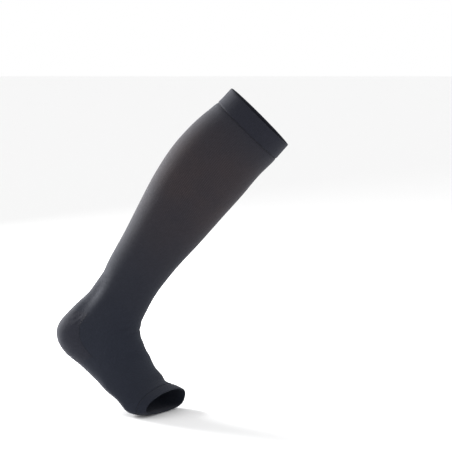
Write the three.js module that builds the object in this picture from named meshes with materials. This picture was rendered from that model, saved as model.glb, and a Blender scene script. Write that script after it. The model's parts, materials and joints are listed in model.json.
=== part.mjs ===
// A knee-high, open-toe compression stocking, worn and in mid step: the shin leans forward, the foot is
// turned outward and its heel is raised, with the ball of the foot on the ground. One circular-knitted
// tube of nylon and elastane, in five knitted stretches: top band, leg, heel pocket, foot and toe edge.
// The leg is one stretch of knit, held here as four rings: below the knee, calf, shin and ankle.
//
// Units are millimetres. +X is the way the wearer walks, +Z is up, and the outer side of the leg faces -Y.
// The origin is the middle of the top opening, where the band grips the leg under the knee.

import * as THREE from "three";

// ---- Driving sizes ----

const LEAN = 37.2; // degrees the shin leans forward from upright
const OUTWARD = 23; // degrees the leg is turned outward about the shin
const WALL = 1.5; // thickness of the compression knit
const BAND_RAISE = 0.9; // how far the doubled top band stands proud of the leg
const HEM_RAISE = 0.5; // how far the turned hem at the toe stands proud of the foot
const SEAM_GAP = 0.3; // clear space left between two knitted stretches
const AROUND = 36; // flats round the tube
const OUTLINE_STEPS = 60; // fine steps along each quarter of a section before it is divided evenly

// The knee-high tube, a row for each section, in the leg's own upright frame: x forward, z up along the
// shin. x, z: the point that the section's plane turns about. side: how far its middle is to the inner
// side. turn: degrees the plane is turned from level, 90 where it stands across the foot. skew: degrees
// it is swung towards one side. back, mid, front: places along the plane from that point of the back or
// sole, of the widest line and of the shin or instep. outer, inner: half widths. backPower, frontPower:
// roundness of the back and front halves, where 2 is an ellipse and more is squarer. crest: how far the
// instep's ridge is to the inner side. roll: degrees the section is rolled about the foot's own line.
// steps: courses to the next row.
const COLUMNS = [
  "x", "z", "side", "turn", "skew", "back", "mid", "front", "outer", "inner",
  "backPower", "frontPower", "crest", "roll", "steps",
];
const SECTION_ROWS = [
  // x, z, side, turn, skew, back, mid, front, outer, inner, backPower, frontPower, crest, roll, steps
  [0, 0, 0, -7, 3.5, -53, -2, 52, 52, 52, 2, 2, 0, 0, 3],
  [0, -25, 0, -6, 3.5, -56, -4, 50, 53, 52, 2, 2, 0, 0, 3],
  [0, -60, 0, -2, 1.5, -65, -11, 45, 55, 55, 2, 2, 0, 0, 4],
  [0, -98, 0, 0, 0, -69, -14, 43, 55, 56, 2, 2, 0, 0, 4],
  [0, -145, 0, 0, 0, -67, -14, 39.5, 51, 52, 2, 2, 0, 0, 4],
  [0, -192, 0, 0, 0, -59.5, -11, 36, 44, 44, 1.9, 2, 0, 0, 4],
  [0, -240, 0, 0, 0, -51.5, -8, 32.5, 36, 36, 1.8, 2, 0, 0, 4],
  [0, -280, 0, 0, 0, -46, -4, 33, 31, 31, 1.8, 2, 0, 0, 3],
  [77, -305, 0, 0, 0, -118.5, -77, -40, 31, 31, 1.8, 2, 0, 0, 3],
  [77, -305, 0, 13, 0, -121, -77, -39, 33, 33, 1.9, 2, 0, 0, 3],
  [77, -305, 0, 26, 0, -137, -77, -39, 34, 34, 2.1, 2, 0, 0, 3],
  [77, -305, 0, 37, 0, -154, -77, -39, 34, 34, 2.2, 2, 0, 0, 3],
  [77, -305, 0, 46, 0, -150, -77, -38, 34, 34, 2.3, 2, 0, 2, 3],
  [77, -305, 1, 60, 0, -126, -77, -38, 34, 34, 2.5, 2, 2, 5, 3],
  [77, -305, 3, 75, 0, -113, -81, -40, 35, 35, 2.8, 2, 4, 9, 3],
  [77, -305, 6, 90, 1, -106.5, -91, -43.5, 38, 39, 3, 2, 6, 13, 3],
  [92, -408.5, 8, 90, 3, 0, 14, 49, 42, 43, 3, 2, 7, 15, 2],
  [105, -409, 10, 97, 4.5, 0, 13, 46.5, 45, 46, 3, 2.1, 8, 16, 2],
  [116, -408.5, 10, 103, 6, 0, 12, 41, 46, 47, 3, 2.1, 10, 16, 2],
  [129, -401.5, 9, 105, 7.5, 0, 11, 36.5, 46, 47, 3, 2.1, 12, 16, 2],
  [140, -392.5, 7, 102, 8, 0, 10, 30, 45, 47, 3, 2.2, 12, 16, 0],
];
const BAND_SEAM = 1; // row at the seam under the top band
const KNEE_END = 3; // row where the leg's first ring, under the knee, meets the calf's
const CALF_END = 4; // row where the calf's ring meets the shin's
const SHIN_END = 6; // row where the shin's ring meets the ankle's
const HEEL_START = 10; // row where the heel pocket starts, at the end of the leg
const HEEL_END = 13; // row where the heel pocket ends on the sole
const HEM_SEAM = 19; // row at the seam behind the toe edge
const HEEL_FLATS = 14; // flats of the tube, centred on the back, that the heel pocket takes

const KNIT_FINISH = { roughness: 0.82, metalness: 0 };
const SHADES = {
  top_band: 0x2a2c35, below_knee: 0x31303a, calf: 0x32303a, shin: 0x30303a,
  ankle: 0x2e2f3a, heel: 0x35343f, foot: 0x292c38, toe_edge: 0x272a35,
};

// ---- Sections ----

const radians = THREE.MathUtils.degToRad;
const rows = SECTION_ROWS.map((row) => Object.fromEntries(COLUMNS.map((name, i) => [name, row[i]])));

/** Place in the leg's frame of the point at `along` and `across` on a section's plane. */
function onPlane(section, along, across) {
  const turn = radians(section.turn);
  const roll = radians(section.roll);
  const skew = radians(section.skew);
  const rise = along - section.mid;
  const reach = section.mid + rise * Math.cos(roll) + across * Math.sin(roll);
  const sideways = across * Math.cos(roll) - rise * Math.sin(roll);
  const forward = sideways * Math.sin(skew);
  return new THREE.Vector3(
    section.x + reach * Math.cos(turn) + forward * Math.sin(turn),
    section.side + sideways * Math.cos(skew),
    section.z + reach * Math.sin(turn) - forward * Math.cos(turn),
  );
}

/** Distance down the tube of each row, measured along the line of widest points. */
const stations = [0];
for (let i = 1; i < rows.length; i += 1) {
  const before = onPlane(rows[i - 1], rows[i - 1].mid, 0);
  stations.push(stations[i - 1] + before.distanceTo(onPlane(rows[i], rows[i].mid, 0)));
}

/** Slope of a column at a row, from its neighbours, weighted towards the nearer one. */
function slope(column, i) {
  const rise = (a, b) => (rows[b][column] - rows[a][column]) / (stations[b] - stations[a]);
  if (i === 0) return rise(0, 1);
  if (i === rows.length - 1) return rise(i - 1, i);
  const before = stations[i] - stations[i - 1];
  const after = stations[i + 1] - stations[i];
  return (rise(i - 1, i) * after + rise(i, i + 1) * before) / (before + after);
}

/** The section at a place down the tube, counted in rows, on a smooth curve through each column. */
function sectionAt(place) {
  const i = Math.min(Math.floor(place), rows.length - 2);
  const t = place - i;
  const span = stations[i + 1] - stations[i];
  const section = {};
  for (const column of COLUMNS) {
    const start = rows[i][column];
    const end = rows[i + 1][column];
    section[column] =
      start * (2 * t ** 3 - 3 * t ** 2 + 1) + end * (3 * t ** 2 - 2 * t ** 3) +
      span * (slope(column, i) * (t ** 3 - 2 * t ** 2 + t) + slope(column, i + 1) * (t ** 3 - t ** 2));
  }
  return section;
}

/** Half of a section's outline, from the middle of the back to the middle of the front, on one side. */
function halfOutline(section, side) {
  const width = side < 0 ? section.outer : section.inner;
  const points = [];
  const quarter = (end, power, k) => {
    const angle = (k / OUTLINE_STEPS) * (Math.PI / 2);
    const along = section.mid + (end - section.mid) * Math.cos(angle) ** (2 / power);
    const ridge = end === section.front ? section.crest * Math.cos(angle) ** (4 / power) : 0;
    points.push(onPlane(section, along, side * width * Math.sin(angle) ** (2 / power) + ridge));
  };
  for (let k = 0; k < OUTLINE_STEPS; k += 1) quarter(section.back, section.backPower, k);
  for (let k = OUTLINE_STEPS; k >= 0; k -= 1) quarter(section.front, section.frontPower, k);
  return points;
}

/** The point at an even share, 0 to 1, of the length of a line of points. */
function pointAtShare(points, share) {
  const lengths = [0];
  for (let k = 1; k < points.length; k += 1) {
    lengths.push(lengths[k - 1] + points[k].distanceTo(points[k - 1]));
  }
  const wanted = share * lengths.at(-1);
  const k = Math.max(1, lengths.findIndex((length) => length >= wanted));
  const part = (wanted - lengths[k - 1]) / (lengths[k] - lengths[k - 1]);
  return points[k - 1].clone().lerp(points[k], part);
}

/**
 * The outer face of the stocking. `place` is counted in rows down the tube; `around` runs from -0.5 to 0.5,
 * with 0 at the middle of the back or sole, the outer side negative and the front at both ends.
 */
function face(place, around) {
  const turn = around - Math.round(around);
  return pointAtShare(halfOutline(sectionAt(place), turn < 0 ? -1 : 1), Math.abs(turn) * 2);
}

const PROBE = 0.004; // small step used to measure slopes on the face

/** How the face runs at a place: its point, outward normal, and how far apart courses and wales lie. */
function faceFrame(place, around) {
  const low = Math.max(0, place - PROBE);
  const high = Math.min(rows.length - 1.001, place + PROBE);
  const down = face(high, around).sub(face(low, around)).divideScalar(high - low);
  const across = face(place, around + PROBE).sub(face(place, around - PROBE));
  across.divideScalar(2 * PROBE);
  const normal = new THREE.Vector3().crossVectors(down, across);
  const area = normal.length();
  normal.normalize();
  return {
    point: face(place, around),
    normal,
    perPlace: area / across.length(),
    perAround: area / down.length(),
  };
}

// ---- Knitted stretches ----

/** Places of the courses down the whole tube. */
const courses = rows.slice(0, -1).flatMap((row, i) => (
  Array.from({ length: row.steps }, (_, k) => i + k / row.steps)
));
courses.push(rows.length - 1);

/** Whether the cell from flat `flat` to the next is on the stretch of the back that the heel takes. */
const onHeelFlats = (flat) => Math.abs(flat + 0.5 - AROUND / 2) < HEEL_FLATS / 2;

/**
 * One knitted stretch as a closed wall. `holds(place, flat)` says which cells of the tube belong to it, and
 * `raise` is how far its outer side stands proud. Its edges are drawn back by half the seam gap.
 */
function knit(name, holds, raise = 0) {
  const last = courses.length - 1;
  const middle = (course) => (courses[course] + courses[course + 1]) / 2;
  const included = (course, flat) => (
    course >= 0 && course < last && holds(middle(course), (flat + AROUND) % AROUND)
  );
  const positions = [];
  const numbers = new Map();

  const vertex = (course, flat, inner) => {
    const wrapped = (flat + AROUND) % AROUND;
    const key = `${course}/${wrapped}/${inner}`;
    if (!numbers.has(key)) {
      let place = courses[course];
      let around = wrapped / AROUND - 0.5;
      let pullDown = 0;
      let pullAcross = 0;
      for (const [cellDown, cellAcross] of [[-1, -1], [-1, 0], [0, -1], [0, 0]]) {
        if (!included(course + cellDown, wrapped + cellAcross)) continue;
        pullDown += cellDown + 0.5;
        pullAcross += cellAcross + 0.5;
      }
      const frame = faceFrame(place, around);
      const rim = course === 0 || course === last;
      if (!rim) place += (Math.sign(pullDown) * SEAM_GAP) / 2 / frame.perPlace;
      around += (Math.sign(pullAcross) * SEAM_GAP) / 2 / frame.perAround;
      const { point, normal } = faceFrame(place, around);
      point.addScaledVector(normal, inner ? -WALL : raise);
      numbers.set(key, positions.length / 3);
      positions.push(point.x, point.y, point.z);
    }
    return numbers.get(key);
  };

  const triangles = [];
  const quad = (a, b, c, d) => triangles.push(a, b, c, a, c, d);
  for (let course = 0; course < last; course += 1) {
    for (let flat = 0; flat < AROUND; flat += 1) {
      if (!included(course, flat)) continue;
      const corners = [[course, flat], [course + 1, flat], [course + 1, flat + 1], [course, flat + 1]];
      const neighbours = [[course, flat - 1], [course + 1, flat], [course, flat + 1], [course - 1, flat]];
      const outer = corners.map(([c, f]) => vertex(c, f, false));
      const inner = corners.map(([c, f]) => vertex(c, f, true));
      quad(...outer);
      quad(...inner.reverse());
      inner.reverse();
      neighbours.forEach(([c, f], edge) => {
        const next = (edge + 1) % 4;
        if (!included(c, f)) quad(outer[next], outer[edge], inner[edge], inner[next]);
      });
    }
  }

  const geometry = new THREE.BufferGeometry();
  geometry.setAttribute("position", new THREE.Float32BufferAttribute(positions, 3));
  geometry.setIndex(triangles);
  geometry.computeVertexNormals();
  const finish = new THREE.MeshStandardMaterial({ ...KNIT_FINISH, color: SHADES[name] });
  const mesh = new THREE.Mesh(geometry, finish);
  mesh.name = name;
  return mesh;
}

const between = (start, end) => (place) => place > start && place < end;
const heelCells = (place, flat) => between(HEEL_START, HEEL_END)(place) && onHeelFlats(flat);
const footCells = (place, flat) => between(HEEL_START, HEM_SEAM)(place) && !heelCells(place, flat);

const stocking = new THREE.Group();
stocking.add(
  knit("top_band", between(0, BAND_SEAM), BAND_RAISE),
  knit("below_knee", between(BAND_SEAM, KNEE_END)),
  knit("calf", between(KNEE_END, CALF_END)),
  knit("shin", between(CALF_END, SHIN_END)),
  knit("ankle", between(SHIN_END, HEEL_START)),
  knit("heel", heelCells),
  knit("foot", footCells),
  knit("toe_edge", between(HEM_SEAM, rows.length - 1), HEM_RAISE),
);
stocking.rotation.set(0, radians(LEAN), -radians(OUTWARD), "YZX");

export default stocking;
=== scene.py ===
import json
import math

import bpy
import bmesh
import numpy as np
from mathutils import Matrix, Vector
from mathutils.bvhtree import BVHTree

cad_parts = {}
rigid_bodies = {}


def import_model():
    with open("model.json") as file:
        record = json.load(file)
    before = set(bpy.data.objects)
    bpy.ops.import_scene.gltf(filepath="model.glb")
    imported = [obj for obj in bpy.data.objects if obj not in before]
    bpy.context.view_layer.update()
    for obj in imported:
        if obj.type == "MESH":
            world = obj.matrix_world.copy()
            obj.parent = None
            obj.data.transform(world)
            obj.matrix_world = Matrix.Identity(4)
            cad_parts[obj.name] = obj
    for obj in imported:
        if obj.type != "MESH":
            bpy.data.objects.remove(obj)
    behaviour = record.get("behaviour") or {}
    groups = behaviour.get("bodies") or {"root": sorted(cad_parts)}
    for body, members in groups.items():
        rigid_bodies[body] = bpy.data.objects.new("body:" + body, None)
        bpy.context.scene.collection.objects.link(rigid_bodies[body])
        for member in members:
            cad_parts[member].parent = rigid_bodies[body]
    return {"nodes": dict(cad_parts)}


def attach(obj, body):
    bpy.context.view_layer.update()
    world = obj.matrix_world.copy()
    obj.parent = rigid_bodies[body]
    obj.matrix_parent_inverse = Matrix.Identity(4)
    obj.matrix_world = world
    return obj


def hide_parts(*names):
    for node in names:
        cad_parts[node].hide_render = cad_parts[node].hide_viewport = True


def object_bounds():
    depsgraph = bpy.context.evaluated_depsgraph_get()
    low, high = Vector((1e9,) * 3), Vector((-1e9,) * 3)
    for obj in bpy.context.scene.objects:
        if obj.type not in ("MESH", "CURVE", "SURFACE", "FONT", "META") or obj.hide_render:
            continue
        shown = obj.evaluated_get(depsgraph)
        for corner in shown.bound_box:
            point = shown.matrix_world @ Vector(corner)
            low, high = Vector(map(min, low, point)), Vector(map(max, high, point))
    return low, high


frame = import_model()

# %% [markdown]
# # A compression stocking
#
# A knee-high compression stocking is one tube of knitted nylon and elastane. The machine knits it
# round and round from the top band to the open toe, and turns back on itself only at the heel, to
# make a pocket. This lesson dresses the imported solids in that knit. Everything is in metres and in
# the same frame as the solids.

MM = 0.001
CAD_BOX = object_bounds()
low_corner, high_corner = (np.array(corner) for corner in CAD_BOX)
print("solids:", len(frame["nodes"]), "box in mm:", np.round((high_corner - low_corner) / MM, 1))

# %% [markdown]
# ## The camera
#
# The stocking is seen from its outer side and from a little above, from far enough away that it
# hardly narrows with distance. A long lens 3.5 m off does that. It looks at a point in front of the
# leg, so that the leg stands in the left two thirds of the frame, with room for its twin on the right.

# %% Camera
CAMERA_DISTANCE = 3.5  # metres from the leg, level
CAMERA_RISE = 0.4648  # how far above the middle of the frame
SENSOR_WIDTH = 36  # mm, of a full-frame camera
FRAME_SIDE = 0.610  # width of what the frame takes in at the leg
LEFT_MARGIN = 0.0739  # clear space left of the heel, at the leg
TOP_MARGIN = 0.1188  # clear space above the band, at the leg

look_at = Vector((low_corner[0] - LEFT_MARGIN + FRAME_SIDE / 2, 0,
                  high_corner[2] + TOP_MARGIN - FRAME_SIDE / 2))
camera_data = bpy.data.cameras.new("camera")
camera_data.sensor_width = SENSOR_WIDTH
camera_data.lens = SENSOR_WIDTH * math.hypot(CAMERA_DISTANCE, CAMERA_RISE) / FRAME_SIDE
camera = bpy.data.objects.new("camera", camera_data)
camera.location = look_at + Vector((0, -CAMERA_DISTANCE, CAMERA_RISE))
camera.rotation_euler = (look_at - camera.location).to_track_quat("-Z", "Y").to_euler()
bpy.context.scene.collection.objects.link(camera)
bpy.context.scene.camera = camera
print("camera looks at", np.round(look_at, 4), "lens", round(camera_data.lens, 1))

# %% [markdown]
# ## The middle line
#
# Knit is made of courses, which run round the tube, and wales, which run down it. A course lies in a
# plane that is level across the shin, fans out round the heel and stands upright across the foot.
# The form could be drawn again from widths, but the solids hold it already. So each plane gets a
# middle point, and the form is read from there by looking outwards at the wall.

# %% Planes down the tube
LEAN = math.radians(37.2)  # how far the shin leans forward
OUTWARD = math.radians(23)  # how far the leg is turned outward
PLANES = np.array([
    # x, z, side, turn, skew, middle, roll: mm and degrees in the leg's own upright frame
    (0, 0, 0, -7, 3.5, -2, 0), (0, -25, 0, -6, 3.5, -4, 0), (0, -60, 0, -2, 1.5, -11, 0),
    (0, -98, 0, 0, 0, -14, 0), (0, -145, 0, 0, 0, -14, 0), (0, -192, 0, 0, 0, -11, 0),
    (0, -240, 0, 0, 0, -8, 0), (0, -280, 0, 0, 0, -4, 0), (77, -305, 0, 0, 0, -77, 0),
    (77, -305, 0, 13, 0, -77, 0), (77, -305, 0, 26, 0, -77, 0), (77, -305, 0, 37, 0, -77, 0),
    (77, -305, 0, 46, 0, -77, 2), (77, -305, 1, 60, 0, -77, 5), (77, -305, 3, 75, 0, -81, 9),
    (77, -305, 6, 90, 1, -91, 13), (92, -408.5, 8, 90, 3, 14, 15), (105, -409, 10, 97, 4.5, 13, 16),
    (116, -408.5, 10, 103, 6, 12, 16), (129, -401.5, 9, 105, 7.5, 11, 16),
    (140, -392.5, 7, 102, 8, 10, 16),
], float)
BAND_SEAM, HEEL_START, HEEL_END, HEM_SEAM, TOE_RIM = 1, 10, 13, 19, 20  # places down the tube
HEEL_SHARE = 7 / 36  # how far the heel pocket reaches each way from the middle of the back


def upright_to_frame(points):
    """Points or directions from the leg's upright frame to the frame of the solids."""
    x, y, z = np.moveaxis(np.asarray(points, float), -1, 0)
    x, y = (x * math.cos(OUTWARD) + y * math.sin(OUTWARD),
            y * math.cos(OUTWARD) - x * math.sin(OUTWARD))
    return np.stack([x * math.cos(LEAN) + z * math.sin(LEAN), y,
                     z * math.cos(LEAN) - x * math.sin(LEAN)], axis=-1)


def plane_at(row):
    """Middle point and the two directions, to the front and to the inner side, of a row's plane."""
    x, z, side, turn, skew, middle, roll = row
    turn, skew, roll = np.radians([turn, skew, roll])
    along = np.array([math.cos(turn), 0, math.sin(turn)])
    across = np.array([math.sin(skew) * math.sin(turn), math.cos(skew),
                       -math.sin(skew) * math.cos(turn)])
    centre = np.array([x, side, z]) + middle * along
    front = along * math.cos(roll) - across * math.sin(roll)
    inner = along * math.sin(roll) + across * math.cos(roll)
    return upright_to_frame(centre) * MM, upright_to_frame(front), upright_to_frame(inner)


# %% A smooth line through the planes
middles = np.array([plane_at(row)[0] for row in PLANES])
down = np.concatenate([[0], np.cumsum(np.linalg.norm(np.diff(middles, axis=0), axis=1))])
steepness = np.diff(PLANES, axis=0) / np.diff(down)[:, None]
gaps = np.diff(down)[:, None]
slopes = np.vstack([steepness[:1], (steepness[:-1] * gaps[1:] + steepness[1:] * gaps[:-1])
                    / (gaps[:-1] + gaps[1:]), steepness[-1:]])


def row_at(place):
    """The plane's numbers at a place between rows, on a smooth curve through the rows."""
    i = min(int(place), len(PLANES) - 2)
    t, span = place - i, down[i + 1] - down[i]
    return (PLANES[i] * (2 * t**3 - 3 * t**2 + 1) + PLANES[i + 1] * (3 * t**2 - 2 * t**3)
            + span * (slopes[i] * (t**3 - 2 * t**2 + t) + slopes[i + 1] * (t**3 - t**2)))


print("middle line:", round(down[-1] / MM), "mm long")

# %% [markdown]
# ## Reading the form
#
# The solids arrive as loose triangles, so copies of them are put into one search tree. From each
# plane's middle, 144 lines look outwards to the inner side of the wall. A line that slips through a
# seam between two solids finds nothing, and takes its neighbours' distance. A light smoothing
# takes away the flats of the solids, which a knitted tube doesn't have.

# %% The inner side of the wall
LOOKS = 144  # lines round each plane
FURTHEST = 0.13  # no wall is further than this from the middle line
READ_AT = (np.arange(160) + 0.5) / 8  # places where the form is read, none of them on a seam
SMOOTH_REACH, SMOOTH_SPREAD = 4, 1.4  # lines to each side that smoothing takes in, and its spread

corners, triangles = [], []
for solid in frame["nodes"].values():
    shape = bmesh.new()
    shape.from_mesh(solid.data)
    bmesh.ops.triangulate(shape, faces=shape.faces)
    start = len(corners)
    shape.verts.ensure_lookup_table()
    corners += [v.co.copy() for v in shape.verts]
    triangles += [[start + v.index for v in f.verts] for f in shape.faces]
    shape.free()
walls = BVHTree.FromPolygons(corners, triangles)
turns = np.linspace(-math.pi, math.pi, LOOKS, endpoint=False)
beside = np.arange(-SMOOTH_REACH, SMOOTH_REACH + 1)
kernel = np.exp(-0.5 * (beside / SMOOTH_SPREAD) ** 2)
kernel /= kernel.sum()


def smooth_round(values):
    """Values round a ring, evened out with their neighbours, twice so that bends keep their size."""
    even = lambda v: sum(k * np.roll(v, shift) for k, shift in zip(kernel, beside))
    return even(values) + even(values - even(values))


rings, missed = [], 0
for place in READ_AT:
    centre, front, inner = plane_at(row_at(place))
    ways = -np.cos(turns)[:, None] * front + np.sin(turns)[:, None] * inner
    reach = np.array([walls.ray_cast(Vector(centre), Vector(way), FURTHEST)[3] or np.nan
                      for way in ways])
    lost = np.isnan(reach)
    missed += int(lost.sum())
    reach = np.interp(np.arange(LOOKS), np.flatnonzero(~lost), reach[~lost])
    rings.append(centre + smooth_round(reach)[:, None] * ways)
print("looked", LOOKS * len(READ_AT), "times, and slipped through a seam", missed, "times")

# %% [markdown]
# Every course of a circular knit has the same number of wales, so each ring is divided again into
# equal steps: half of them up the outer side, from the middle of the back to the middle of the front,
# and half up the inner side. Where the leg is thick the steps are wide, which is how a stocking
# stretches.

# %% Wales
WALES = 216  # lines of mesh down the tube, a multiple of 36 so that one runs along the heel's edge


def divided(ring):
    """A ring's points again, one for each wale, from the front round the outer side and back."""
    closed = np.vstack([ring, ring[:1]])
    length = np.concatenate([[0], np.cumsum(np.linalg.norm(np.diff(closed, axis=0), axis=1))])
    back = length[LOOKS // 2]
    wanted = np.concatenate([np.linspace(0, back, WALES // 2, endpoint=False),
                             np.linspace(back, length[-1], WALES // 2, endpoint=False)])
    return np.stack([np.interp(wanted, length, closed[:, k]) for k in range(3)], axis=1)


form = np.array([divided(ring) for ring in rings])


def smooth_down(values):
    """Rings evened out with the ring before and the ring after."""
    return np.concatenate([values[:1], (values[:-2] + 2 * values[1:-1] + values[2:]) / 4, values[-1:]])


def carried_on(values):
    """The values with one more at each end, in line with the last two."""
    return np.concatenate([2 * values[:1] - values[1:2], values, 2 * values[-1:] - values[-2:-1]])


form = carried_on(smooth_down(form) + smooth_down(form - smooth_down(form)))
read_places = carried_on(READ_AT)

# %% Points and directions anywhere on the form


def surface(places):
    """Points of the form at places down the tube: places by wales by 3, on curves through the rings."""
    step = read_places[1] - read_places[0]
    at = np.clip((np.asarray(places, float) - read_places[0]) / step, 0, len(read_places) - 1.001)
    i = at.astype(int)
    t = (at - i)[:, None, None]
    before, start, end, after = (form[np.clip(i + k, 0, len(form) - 1)] for k in (-1, 0, 1, 2))
    return (start + 0.5 * t * (end - before + t * (2 * before - 5 * start + 4 * end - after
                                                  + t * (3 * (start - end) + after - before))))


def facing(points):
    """Outward directions of a grid of points."""
    lengthwise = np.gradient(points, axis=0)
    around = np.roll(points, -1, axis=1) - np.roll(points, 1, axis=1)
    normal = np.cross(around, lengthwise)
    return normal / np.linalg.norm(normal, axis=-1, keepdims=True)


# %% Girths
girths = np.linalg.norm(np.diff(np.concatenate([form, form[:, :1]], axis=1), axis=1), axis=2).sum(1)
for label, place in (("band", 0.5), ("calf", 3.2), ("ankle", 7.2), ("foot", 16)):
    print(label, "girth", round(float(np.interp(place, read_places, girths)) / MM), "mm")

# %% [markdown]
# ## Courses, and where the cloth gives
#
# The mesh has a course of faces about every 1.7 mm. Compression knit is taut, so it has no loose
# folds, but it gives where the ankle bends and bridges the hollows beside the heel's tendon. Those
# few soft troughs are listed with a start, an end, a width and a depth, the same on the side
# that faces away. A slow unevenness keeps the rest from being as true as a pipe.

# %% Courses
COURSE_STEP = 1.7 * MM
STRETCH_ENDS = [0, BAND_SEAM, HEEL_START, HEEL_END, HEM_SEAM, TOE_RIM]
places = [0.0]
for start, end in zip(STRETCH_ENDS, STRETCH_ENDS[1:]):
    length = down[end] - down[start]
    places += list(np.linspace(start, end, max(4, round(length / COURSE_STEP)) + 1)[1:])
places = np.array(places)
around = np.arange(WALES) / WALES - 0.5  # share round the tube: 0 at the back, outer side negative
print("places of courses:", len(places))

# %% Creases
NARROW = 6  # mm; a crease narrower than this pushes up a low shoulder on each side
SHOULDER = 0.35  # height of the shoulder, as a share of the crease's depth
CREASE_STEPS = 12  # short lengths that a crease is measured from
UNEVEN = 0.12  # mm of slow rise and fall over the whole tube
CREASES = [
    # place and share at the start, place and share at the end, width and depth in mm
    (9.3, -0.47, 10.6, -0.36, 3.2, 0.9), (10.4, -0.47, 11.5, -0.35, 3.0, 1.0),
    (11.6, -0.48, 12.6, -0.38, 3.2, 0.8), (12.7, -0.36, 13.9, -0.27, 4.0, 0.5),
    (9.4, 0.47, 10.7, 0.35, 3.2, 0.9), (10.6, 0.48, 11.8, 0.36, 3.0, 0.9),
    (11.9, 0.47, 12.8, 0.37, 3.4, 0.7), (12.9, 0.35, 14.1, 0.26, 4.0, 0.5),
    (7.6, -0.10, 10.9, -0.160, 13.0, 3.4), (7.6, 0.10, 10.9, 0.160, 13.0, 3.2),
]

plain = surface(places)
normals = facing(plain)


def point_on(place, share):
    """The point of the form at one place and share round the tube."""
    ring = surface([place])[0]
    k = (share + 0.5) * WALES
    i, t = int(k) % WALES, k - int(k)
    return ring[i] * (1 - t) + ring[(i + 1) % WALES] * t


def crease_depth(points, crease):
    """How far a crease draws each point in, fading out at its two ends."""
    place0, share0, place1, share1, width, depth = crease
    line = [point_on(place0 + (place1 - place0) * t, share0 + (share1 - share0) * t)
            for t in np.linspace(0, 1, CREASE_STEPS + 1)]
    best, at = np.full(points.shape[:2], np.inf), np.zeros(points.shape[:2])
    for k, point in enumerate(line):
        away = np.linalg.norm(points - point, axis=-1)
        closer = away < best
        best[closer], at[closer] = away[closer], k / CREASE_STEPS
    fade = np.sin(math.pi * np.clip(at, 0.02, 0.98)) ** 0.7
    x = best / (width * MM)
    shoulder = SHOULDER if width < NARROW else 0
    return depth * MM * fade * (np.exp(-x**2) - shoulder * np.exp(-((x - 2.0) ** 2)))


# %% Cloth with its creases
drawn_in = sum(crease_depth(plain, crease) for crease in CREASES)
wave = (np.sin(places[:, None] * 2.1 + 3 * np.sin(2 * math.pi * around)[None])
        + np.sin(places[:, None] * 3.7 - 2 * np.cos(4 * math.pi * around)[None] + 1.3))
fabric = plain - normals * (drawn_in + UNEVEN * MM * wave)[..., None]
normals = facing(fabric)
print("mesh grid:", len(places), "courses by", WALES, "wales; deepest trough",
      round(float(drawn_in.max()) / MM, 2), "mm")

# %% [markdown]
# ## How far the knit is stretched
#
# The machine makes the tube narrow, and the leg stretches it. Where it is stretched most, over the
# calf, the loops open and the cloth looks thinner and warmer. Where it is close, on the foot, it is
# darker and bluer. Each course keeps how open its loops are and how much of the foot's shade it has, so
# that the finish can follow them.

# %% Stretch and shade
relaxed = np.interp(places, [0, 1, 3.2, 7.2, 10, 14, 20],
                    np.array([262, 262, 262, 172, 190, 178, 178]) * MM)
round_tube = np.linalg.norm(np.roll(fabric, -1, axis=1) - fabric, axis=-1).sum(axis=1)
stretch = round_tube / relaxed
open_loops = np.interp(places, [1, 2.0, 2.9, 3.7, 5.2, 6.8], [0.15, 0.7, 1, 1, 0.35, 0])
foot_shade = np.interp(places, [5.5, 9.5, 12.5], [0, 0.75, 1])
down_tube = np.interp(places, np.arange(len(down)), down)
print("stretch:", round(float(stretch.min()), 2), "to", round(float(stretch.max()), 2))

# %% [markdown]
# ## Cloth with a thickness
#
# Each stretch of knit is a closed thin shell: the outer grid, the same grid a little further in, and a
# wall along every free edge. A Solidify modifier could add the inner grid, but here the height of the
# cloth changes towards a seam, where it is drawn down, so both grids are made from the form directly.
# A corner of the UV map counts wales across and courses down, so that a knit can follow the tube.

# %% Turning points into a piece
CLOTH_TOP, CLOTH_UNDER = 1.5, 0.4  # mm from the form to the outer and the inner side of the knit
DRAWN_WALES = 132  # ribs of loops drawn round the tube; the real ones, about 500, are too fine to show
DRAWN_COURSE = 2.3 * MM  # height of a drawn loop, where the real one is about 0.6 mm
SHARP_FROM = math.radians(50)  # edges that turn more than this, the free ones, stay sharp


def finished(name, points, faces, uvs, place_of_point):
    """A mesh object with its UV map, its shade attributes, smooth faces and sharp free edges."""
    mesh = bpy.data.meshes.new(name)
    mesh.from_pydata(points.tolist(), [], faces)
    layer = mesh.uv_layers.new(name="knit")
    layer.data.foreach_set("uv", np.array(uvs, np.float32).ravel())
    for label, values in (("open_loops", open_loops), ("foot_shade", foot_shade)):
        attribute = mesh.attributes.new(label, "FLOAT", "POINT")
        value = np.interp(place_of_point, places, values)
        attribute.data.foreach_set("value", value.astype(np.float32))
    mesh.polygons.foreach_set("use_smooth", np.ones(len(faces), bool))
    mesh.set_sharp_from_angle(angle=SHARP_FROM)
    mesh.validate()
    piece = bpy.data.objects.new(name, mesh)
    bpy.context.scene.collection.objects.link(piece)
    print(name, "has", sum(len(face) - 2 for face in faces), "triangles")
    return piece


def uv_of(place, share):
    """Wales across and courses down, counted in drawn loops."""
    return (share + 0.5) * DRAWN_WALES, float(np.interp(place, places, down_tube)) / DRAWN_COURSE


uv_table = [[uv_of(place, w / WALES - 0.5) for w in range(WALES + 1)] for place in places]

# %% A shell


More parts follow.
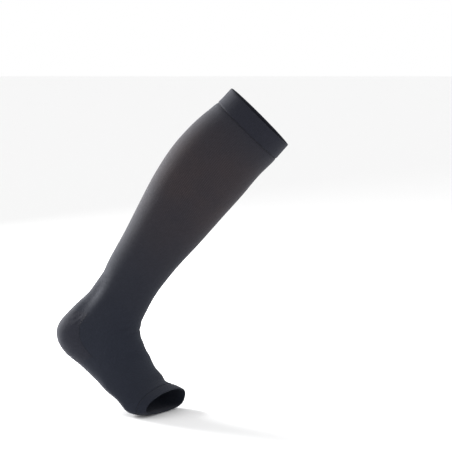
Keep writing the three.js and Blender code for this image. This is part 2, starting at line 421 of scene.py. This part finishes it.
def shell(name, holds, top):
    """The cells of the grid that a stretch holds, as a closed wall; top is its height by place."""
    cell_places = (places[:-1] + places[1:]) / 2
    cell_shares = (np.arange(WALES) + 0.5) / WALES - 0.5
    held = holds(cell_places[:, None], cell_shares[None, :])
    count = len(places) * WALES
    points = np.concatenate([
        (fabric + normals * (height * MM)[:, None, None]).reshape(-1, 3)
        for height in (np.interp(places, *top), np.full(len(places), CLOTH_UNDER))])
    faces, uvs = [], []
    for c, w in zip(*np.nonzero(held)):
        cell = [(c, w), (c, w + 1), (c + 1, w + 1), (c + 1, w)]
        beside = [(c - 1, w), (c, w + 1), (c + 1, w), (c, w - 1)]
        outer = [i * WALES + j % WALES for i, j in cell]
        uv = [uv_table[i][j] for i, j in cell]
        faces += [outer, [k + count for k in reversed(outer)]]
        uvs += uv + uv[::-1]
        for edge, (i, j) in enumerate(beside):
            if 0 <= i < held.shape[0] and held[i, j % WALES]:
                continue
            a, b = edge, (edge + 1) % 4
            faces.append([outer[b], outer[a], outer[a] + count, outer[b] + count])
            uvs += [uv[b], uv[a], uv[a], uv[b]]
    used, faces_flat = np.unique(np.array(faces), return_inverse=True)
    faces = faces_flat.reshape(-1, 4).tolist()
    return finished(name, points[used], faces, uvs, places[(used % count) // WALES])


# %% Leg, heel and foot
AT_SEAM, NEAR_SEAM = 0.7, 1.3  # mm, the outer side's height where a seam draws the knit down


def on_leg(place, share):
    """The leg: all round, which any share is, from the band's seam to the heel."""
    return (place > BAND_SEAM) & (place < HEEL_START) & (share < 1)


def on_heel(place, share):
    """The heel pocket, on the back half."""
    return (place > HEEL_START) & (place < HEEL_END) & (abs(share) < HEEL_SHARE)


def on_foot(place, share):
    """The foot: from the heel to the hem's seam, less the pocket."""
    return (place > HEEL_START) & (place < HEM_SEAM) & ~on_heel(place, share)


leg = shell("leg_cloth", on_leg,
            ([BAND_SEAM, BAND_SEAM + 0.06, BAND_SEAM + 0.12], [AT_SEAM, NEAR_SEAM, CLOTH_TOP]))
heel = shell("heel_cloth", on_heel, ([0], [CLOTH_TOP]))
foot = shell("foot_cloth", on_foot,
             ([HEM_SEAM - 0.2, HEM_SEAM - 0.1, HEM_SEAM], [CLOTH_TOP, NEAR_SEAM, AT_SEAM]))

# %% [markdown]
# ## Top band and toe edge
#
# Both ends of the tube are turned in and sewn down, so each is double cloth with a rounded fold at the
# opening and a soft step at the seam. A closed outline of place and height, carried round the tube,
# gives the fold, the outer side, the step and the inner side in one piece.

# %% Turned edges


def turned_edge(name, outline):
    """A closed outline of (place, height in mm) carried round the tube."""
    rings, faces, uvs = [], [], []
    for place, height in outline:
        i = min(int(np.searchsorted(places, place, side="right")) - 1, len(places) - 2)
        t = (place - places[i]) / (places[i + 1] - places[i])
        ring = fabric[i] * (1 - t) + fabric[i + 1] * t
        out = normals[i] * (1 - t) + normals[i + 1] * t
        rings.append(ring + out * height * MM)
    count = len(outline)
    for c in range(count):
        below = (c + 1) % count
        for w in range(WALES):
            beside = (w + 1) % WALES
            faces.append([c * WALES + w, c * WALES + beside, below * WALES + beside, below * WALES + w])
            across = [w / WALES - 0.5, (w + 1) / WALES - 0.5]
            uvs += [uv_of(outline[c][0], across[0]), uv_of(outline[c][0], across[1]),
                    uv_of(outline[below][0], across[1]), uv_of(outline[below][0], across[0])]
    return finished(name, np.concatenate(rings), faces, uvs,
                    np.repeat([place for place, _ in outline], WALES))


# %% Outline of a turned edge


def outline_between(fold, seam, top, run):
    """The outline of a turned edge whose fold and seam are at these places, run mm apart.

    over, outside, step and inside are (mm from the fold, mm above the form).
    """
    mm = (seam - fold) / run
    over = [(1.6, 0.42), (0.7, 0.6), (0.2, 0.9), (0, 1.35), (0.2, top - 0.5),
            (0.7, top - 0.18), (1.6, top)]
    outside = [(x, top + 0.12 * math.sin(math.pi * x / run)) for x in np.linspace(3, run - 2.4, 14)]
    step = [(run - 1.5, top - 0.05), (run - 0.8, top - 0.3), (run - 0.3, top - 0.8), (run - 0.05, 0.9)]
    inside = [(x, 0.4) for x in np.linspace(run - 0.05, 3, 14)]
    outline = [(fold + x * mm, height) for x, height in over + outside + step + inside]
    return outline if seam > fold else outline[::-1]


# %% Band and hem
BAND_RUN, HEM_RUN = 25.3, 13.6  # mm from fold to seam
BAND_TOP, HEM_TOP = 2.4, 2.0  # mm from the form to the outer side of the double cloth
top_band = turned_edge("band_cloth", outline_between(0, BAND_SEAM, BAND_TOP, BAND_RUN))
toe_edge = turned_edge("toe_cloth", outline_between(TOE_RIM, HEM_SEAM, HEM_TOP, HEM_RUN))

# %% [markdown]
# ## Sewing
#
# The band and the toe edge are sewn down with a chain stitch, and the heel pocket is joined to the foot
# by the line of crossed loops that a machine leaves where it turns back. One small loop of thread
# repeats along each line. A Geometry Nodes tree lays them: it takes a line on the cloth, divides it by
# the stitch's length, and stands a loop on each point, turned to the line and to the cloth. Its sizes
# are inputs, so the same tree sews every line.

# %% Adding a node


def tree_node(tree, kind, inputs=(), **settings):
    """A node with its settings, and its inputs set to values or joined to other nodes' outputs."""
    made = tree.nodes.new(kind)
    for key, value in settings.items():
        setattr(made, key, value)
    for key, value in dict(inputs).items():
        if isinstance(value, bpy.types.NodeSocket):
            tree.links.new(value, made.inputs[key])
        else:
            made.inputs[key].default_value = value
    return made


# %% The tree and its inputs
sewing = bpy.data.node_groups.new("sewing", "GeometryNodeTree")
sewing.interface.new_socket("Geometry", in_out="INPUT", socket_type="NodeSocketGeometry")
for label in ("Stitch length", "Stitch width", "Thread radius"):
    sewing.interface.new_socket(label, in_out="INPUT", socket_type="NodeSocketFloat")
sewing.interface.new_socket("Thread", in_out="INPUT", socket_type="NodeSocketMaterial")
sewing.interface.new_socket("Geometry", in_out="OUTPUT", socket_type="NodeSocketGeometry")

# %% Points along the line, and how a loop stands there
given = tree_node(sewing, "NodeGroupInput").outputs
line = tree_node(sewing, "GeometryNodeMeshToCurve", {"Mesh": given["Geometry"]})
spaced = tree_node(sewing, "GeometryNodeResampleCurve",
                   {"Curve": line.outputs["Curve"], "Length": given["Stitch length"]}, mode="LENGTH")
cloth_up = tree_node(sewing, "GeometryNodeInputNamedAttribute", {"Name": "up"},
                     data_type="FLOAT_VECTOR")
along_line = tree_node(sewing, "FunctionNodeAlignRotationToVector",
                       {"Vector": tree_node(sewing, "GeometryNodeInputTangent").outputs[0]}, axis="X")
upright = tree_node(sewing, "FunctionNodeAlignRotationToVector",
                    {"Rotation": along_line.outputs[0], "Vector": cloth_up.outputs[0]},
                    axis="Z", pivot_axis="X")
# %% One loop of thread
OVERLAP = 1.5  # a loop is this many stitches long, so each reaches into the next
LOOP_TILT = math.radians(-14)  # and rises out of the one before
bow = tree_node(sewing, "GeometryNodeCurvePrimitiveCircle", {"Resolution": 8, "Radius": 0.5},
                mode="RADIUS")
bow_length = tree_node(sewing, "ShaderNodeMath", {0: given["Stitch length"], 1: OVERLAP},
                       operation="MULTIPLY")
bow_size = tree_node(sewing, "ShaderNodeCombineXYZ",
                     {0: bow_length.outputs[0], 1: given["Stitch width"], 2: 1})
bow_shape = tree_node(sewing, "GeometryNodeTransform",
                      {"Geometry": bow.outputs["Curve"], "Scale": bow_size.outputs[0],
                       "Rotation": (0, LOOP_TILT, 0)})
section = tree_node(sewing, "GeometryNodeCurvePrimitiveCircle",
                    {"Resolution": 5, "Radius": given["Thread radius"]}, mode="RADIUS")
loop = tree_node(sewing, "GeometryNodeCurveToMesh",
                 {"Curve": bow_shape.outputs[0], "Profile Curve": section.outputs["Curve"]})

# %% A loop on every point
stood = tree_node(sewing, "GeometryNodeInstanceOnPoints",
                  {"Points": spaced.outputs["Curve"], "Instance": loop.outputs["Mesh"],
                   "Rotation": upright.outputs[0]})
real = tree_node(sewing, "GeometryNodeRealizeInstances", {0: stood.outputs[0]})
smooth = tree_node(sewing, "GeometryNodeSetShadeSmooth", {0: real.outputs[0]})
threaded = tree_node(sewing, "GeometryNodeSetMaterial",
                     {0: smooth.outputs[0], "Material": given["Thread"]})
tree_node(sewing, "NodeGroupOutput", {0: threaded.outputs[0]})
print("sewing tree has", len(sewing.nodes), "nodes")

# %% [markdown]
# ## Finishes
#
# The yarn is matt nylon round an elastic core. Nylon filaments scatter light softly and shine a little
# where the cloth turns away, which is sheen, not gloss, so the shader has a high roughness, little
# specular and some sheen. The loops are a pattern on the UV map: ribs across, and chevrons down each
# rib, half a course out of step with the next, which looks like a fine diamond mesh. They drive the
# bump, and they paint shade into the colour: darker in their valleys, lighter on their ribs, and more
# so where the loops open. Speckle from a noise breaks it up, in the bump and as painted glints in the
# colour, as light catching single filaments does.

# %% Colours


def shade(hex_colour):
    """An sRGB colour such as 2c2e38 as the linear colour that shaders use."""
    values = [int(hex_colour[k:k + 2], 16) / 255 for k in (0, 2, 4)]
    return [v / 12.92 if v <= 0.04045 else ((v + 0.055) / 1.055) ** 2.4 for v in values] + [1]


print("linear value of mid grey:", round(shade("808080")[0], 3))

# %% Knit finish
LOOP_RELIEF = 0.16 * MM  # how far a rib of loops stands above the valley beside it
SPECKLE = 1 / (1.6 * MM)  # one speck of catching filaments in 1.6 mm
CLOUD = 22.0  # slow patches about 45 mm across, where the loops are more open and less
MATT_NYLON = 0.85  # roughness of textured nylon yarn


def knit_finish(name, close, low, opened, relief=1.0, mesh_show=0.30):
    """Matt compression knit: its shade up the leg, low on the foot, and where it is opened."""
    material = bpy.data.materials.new(name)
    material.use_nodes = True
    tree = material.node_tree
    tree.nodes.clear()
    uv = tree_node(tree, "ShaderNodeUVMap", uv_map="knit")
    counted = tree_node(tree, "ShaderNodeSeparateXYZ", {0: uv.outputs[0]})

    def sum_of(operation, first, second=0.0, third=0.0):
        return tree_node(tree, "ShaderNodeMath", {0: first, 1: second, 2: third},
                         operation=operation).outputs[0]

    wale, course = counted.outputs[0], counted.outputs[1]
    within = sum_of("ABSOLUTE", sum_of("SUBTRACT", sum_of("FRACT", wale), 0.5))
    rib = sum_of("COSINE", sum_of("MULTIPLY", within, 2 * math.pi))
    shifted = sum_of("MULTIPLY_ADD", sum_of("FLOOR", wale), 0.5, course)
    chevron = sum_of("SINE", sum_of("MULTIPLY", sum_of("MULTIPLY_ADD", within, 0.9, shifted),
                                    2 * math.pi))
    loops = sum_of("MULTIPLY_ADD", rib, 0.25, sum_of("MULTIPLY_ADD", chevron, 0.25, 0.5))
    place = tree_node(tree, "ShaderNodeTexCoord").outputs["Object"]
    speck = tree_node(tree, "ShaderNodeTexNoise",
                      {"Vector": place, "Scale": SPECKLE, "Detail": 2.0, "Roughness": 0.6})
    cloud = tree_node(tree, "ShaderNodeTexNoise", {"Vector": place, "Scale": CLOUD, "Detail": 2.0})
    opening = tree_node(tree, "ShaderNodeAttribute", attribute_name="open_loops").outputs["Fac"]
    lower = tree_node(tree, "ShaderNodeAttribute", attribute_name="foot_shade").outputs["Fac"]

    base = tree_node(tree, "ShaderNodeMix", {"Factor": lower, "A": shade(close), "B": shade(low)},
                     data_type="RGBA")
    patches = tree_node(tree, "ShaderNodeMapRange",
                        {0: cloud.outputs["Fac"], 1: 0.3, 2: 0.7, 3: 0.55, 4: 1.0}).outputs[0]
    warm = sum_of("MULTIPLY", opening, patches)
    opened_mix = tree_node(tree, "ShaderNodeMix",
                           {"Factor": warm, "A": base.outputs["Result"], "B": shade(opened)},
                           data_type="RGBA")
    # Painted shade and light: the loops' valleys are drawn darker and their ribs lighter, more where the
    # loops open.
    depth = sum_of("MULTIPLY_ADD", opening, mesh_show, 0.22)
    valley_shade = sum_of("SUBTRACT", 1.0, sum_of("MULTIPLY", sum_of("SUBTRACT", 0.5, loops), depth))
    # Painted glints: specks of the colour up to 14% lighter or darker, as light catching single filaments.
    glint_fleck = tree_node(tree, "ShaderNodeMapRange",
                      {0: speck.outputs["Fac"], 1: 0.25, 2: 0.75, 3: 0.86, 4: 1.14}).outputs[0]
    colour = tree_node(tree, "ShaderNodeVectorMath",
                       {0: opened_mix.outputs["Result"], "Scale": sum_of("MULTIPLY", valley_shade, glint_fleck)},
                       operation="SCALE")
    height = sum_of("MULTIPLY_ADD", speck.outputs["Fac"], 0.9, loops)
    bump = tree_node(tree, "ShaderNodeBump",
                     {"Height": height, "Strength": 0.8, "Distance": LOOP_RELIEF * relief})
    cloth = tree_node(tree, "ShaderNodeBsdfPrincipled",
                      {"Base Color": colour.outputs[0], "Normal": bump.outputs[0], "Roughness": MATT_NYLON,
                       "Specular IOR Level": 0.12, "Sheen Weight": 0.12, "Sheen Roughness": 0.42,
                       "Sheen Tint": shade("cdd2de")})
    tree_node(tree, "ShaderNodeOutputMaterial", {0: cloth.outputs[0]})
    return material


# %% The five knits
leg_knit = knit_finish("leg_nylon_knit", "26272e", "21242d", "332d2f")
foot_knit = knit_finish("foot_nylon_knit", "26272e", "21242d", "332d2f")
heel_knit = knit_finish("heel_nylon_knit", "26272e", "25262e", "26272e", relief=1.3)
band_knit = knit_finish("band_nylon_knit", "22232b", "22232b", "26262c", mesh_show=0.1)
hem_knit = knit_finish("hem_nylon_knit", "1f222b", "1f222b", "1f222b", mesh_show=0.1)
for piece, finish in ((leg, leg_knit), (heel, heel_knit), (foot, foot_knit), (top_band, band_knit),
                      (toe_edge, hem_knit)):
    piece.data.materials.append(finish)
    print(piece.name, "is made of", finish.name)

# %% [markdown]
# The sewing thread is twisted polyester, dyed to match. It is rounder and a little shinier than the
# knit. Its colour is drawn darker than the knit's, as painted shade of the groove it lies in, and
# darker in bands along its twist, as painted shade between the plies, so it shows as a dark line.

# %% Thread finish
thread = bpy.data.materials.new("polyester_thread")
thread.use_nodes = True
thread.node_tree.nodes.clear()
twist = tree_node(thread.node_tree, "ShaderNodeTexWave",
                  {"Vector": tree_node(thread.node_tree, "ShaderNodeTexCoord").outputs["Object"],
                   "Scale": 900.0, "Distortion": 1.5}, bands_direction="DIAGONAL")
# Painted shade: the thread is darker than the knit it matches, for its groove, and darker in bands along
# its twist.
painted_thread_shade = tree_node(thread.node_tree, "ShaderNodeMix",
                 {"Factor": twist.outputs["Fac"], "A": shade("15161c"), "B": shade("25272f")},
                 data_type="RGBA")
twisted = tree_node(thread.node_tree, "ShaderNodeBump",
                    {"Height": twist.outputs["Fac"], "Strength": 0.5, "Distance": 0.05 * MM})
yarn = tree_node(thread.node_tree, "ShaderNodeBsdfPrincipled",
                 {"Base Color": painted_thread_shade.outputs["Result"], "Normal": twisted.outputs[0], "Roughness": 0.6,
                  "Specular IOR Level": 0.2})
tree_node(thread.node_tree, "ShaderNodeOutputMaterial", {0: yarn.outputs[0]})
print("thread finish has", len(thread.node_tree.nodes), "nodes")

# %% [markdown]
# ## Sewing the lines
#
# Each line is a string of points on the cloth with the cloth's own upward direction, which the tree
# reads. Its result is turned into a plain mesh, so nothing is left to compute later.

# %% Sewing a line


def sewn(name, stops, closed, height, length, width, radius):
    """Stitches along a line of (place, share) stops; height and the stitch's sizes are in mm."""
    line_points, ups = [], []
    for place, share in stops:
        i = min(int(np.searchsorted(places, place, side="right")) - 1, len(places) - 2)
        t = (place - places[i]) / (places[i + 1] - places[i])
        w = int(round((share + 0.5) * WALES)) % WALES
        up = normals[i, w] * (1 - t) + normals[i + 1, w] * t
        line_points.append(fabric[i, w] * (1 - t) + fabric[i + 1, w] * t + up * height * MM)
        ups.append(up)
    count = len(stops)
    edges = [(k, (k + 1) % count) for k in range(count if closed else count - 1)]
    mesh = bpy.data.meshes.new(name)
    mesh.from_pydata([list(p) for p in line_points], edges, [])
    mesh.attributes.new("up", "FLOAT_VECTOR", "POINT").data.foreach_set(
        "vector", np.array(ups, np.float32).ravel())
    piece = bpy.data.objects.new(name, mesh)
    bpy.context.scene.collection.objects.link(piece)
    modifier = piece.modifiers.new("sewing", "NODES")
    modifier.node_group = sewing
    sizes = {"Stitch length": length * MM, "Stitch width": width * MM,
             "Thread radius": radius * MM, "Thread": thread}
    for item in sewing.interface.items_tree:
        if item.name in sizes:
            modifier[item.identifier] = sizes[item.name]
    bpy.context.view_layer.update()
    evaluated = piece.evaluated_get(bpy.context.evaluated_depsgraph_get())
    plain_mesh = bpy.data.meshes.new_from_object(evaluated)
    piece.modifiers.clear()
    piece.data = plain_mesh
    plain_mesh.name = name
    print(name, "has", len(plain_mesh.polygons), "faces")
    return piece


# %% Band, hem and gore lines
band_stitches = sewn("band_stitches", [(BAND_SEAM, share) for share in around], True,
                     height=1.0, length=2.2, width=0.7, radius=0.17)
hem_stitches = sewn("hem_stitches", [(HEM_SEAM, share) for share in around], True,
                    height=0.95, length=2.0, width=0.7, radius=0.16)
heel_places = np.linspace(HEEL_START, HEEL_END, 40)
gore_outer, gore_inner = (
    sewn(name, [(place, share) for place in heel_places], False,
         height=CLOTH_TOP, length=1.8, width=0.9, radius=0.13)
    for name, share in (("gore_outer", -HEEL_SHARE), ("gore_inner", HEEL_SHARE)))

# %% [markdown]
# ## The studio
#
# A plain white room does most of the work, because dark cloth shows its own colour in even light. A tall
# soft light on the heel's side, a little behind the leg, draws the bright edge down the calf, and a weak
# one in front keeps the shin from going flat.

# %% Floor
FLOOR_HALF = 6.0
floor_mesh = bpy.data.meshes.new("floor")
floor_z = float(low_corner[2])
floor_corners = [(x * FLOOR_HALF, y * FLOOR_HALF, floor_z)
                 for x, y in ((-1, -1), (1, -1), (1, 1), (-1, 1))]
floor_mesh.from_pydata(floor_corners, [], [(0, 1, 2, 3)])
floor = bpy.data.objects.new("floor", floor_mesh)
bpy.context.scene.collection.objects.link(floor)
paper = bpy.data.materials.new("white_paper")
paper.use_nodes = True
paper_shader = paper.node_tree.nodes["Principled BSDF"]
paper_shader.inputs["Base Color"].default_value = shade("f7f7f7")
paper_shader.inputs["Roughness"].default_value = 0.9
paper_shader.inputs["Specular IOR Level"].default_value = 0.1
floor_mesh.materials.append(paper)
print("floor at", round(floor_z / MM, 1), "mm, under the ball of the foot")

# %% World
world = bpy.data.worlds.new("studio")
bpy.context.scene.world = world
world.use_nodes = True
world.node_tree.nodes["Background"].inputs["Color"].default_value = shade("ffffff")
world.node_tree.nodes["Background"].inputs["Strength"].default_value = 1.0
bpy.context.scene.view_settings.view_transform = "Standard"
print("view transform:", bpy.context.scene.view_settings.view_transform)

# %% Lights


def soft_light(name, place, target, width, height, watts, colour):
    """A flat soft light at a place, facing a target."""
    data = bpy.data.lights.new(name, "AREA")
    data.shape, data.size, data.size_y = "RECTANGLE", width, height
    data.energy, data.color = watts, shade(colour)[:3]
    lamp = bpy.data.objects.new(name, data)
    lamp.location = place
    lamp.rotation_euler = (Vector(target) - Vector(place)).to_track_quat("-Z", "Y").to_euler()
    bpy.context.scene.collection.objects.link(lamp)
    print(name, "is a light of", watts, "W")


leg_middle = (low_corner + high_corner) / 2
soft_light("heel_side", (-1.25, 1.0, 0.1), leg_middle, 0.45, 1.3, 75, "ffffff")
soft_light("front", (0.9, -1.4, 0.6), leg_middle, 1.0, 1.0, 3, "f4f6ff")

# %% [markdown]
# ## The pieces on the body
#
# Every piece rides on the one body and stands for its solids, which are hidden. The table also gives
# how large its cloth was before the leg stretched it. The sizes are those of an ordinary medium stocking
# lying flat.

# %% Pieces, slots and cloth sizes
PIECES = [
    # piece, the solids it replaces, slot, flat width all round and length in m, and the flat area
    # in square metres where the cut isn't that whole rectangle
    (top_band, ["top_band"], "band_knit", (0.262, 0.026), None),
    (leg, ["below_knee", "calf", "shin", "ankle"], "leg_knit", (0.262, 0.275), 0.066),
    (heel, ["heel"], "heel_knit", (0.085, 0.085), None),
    (foot, ["foot"], "foot_knit", (0.190, 0.120), None),
    (toe_edge, ["toe_edge"], "hem_knit", (0.185, 0.014), None),
]
for piece, solids, slot, flat, area in PIECES:
    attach(piece, "root")
    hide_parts(*solids)
for piece, slot in ((band_stitches, "band_knit"), (hem_stitches, "hem_knit"),
                    (gore_outer, "heel_knit"), (gore_inner, "heel_knit")):
    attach(piece, "root")
print("pieces on the body:", len(PIECES) + 4)
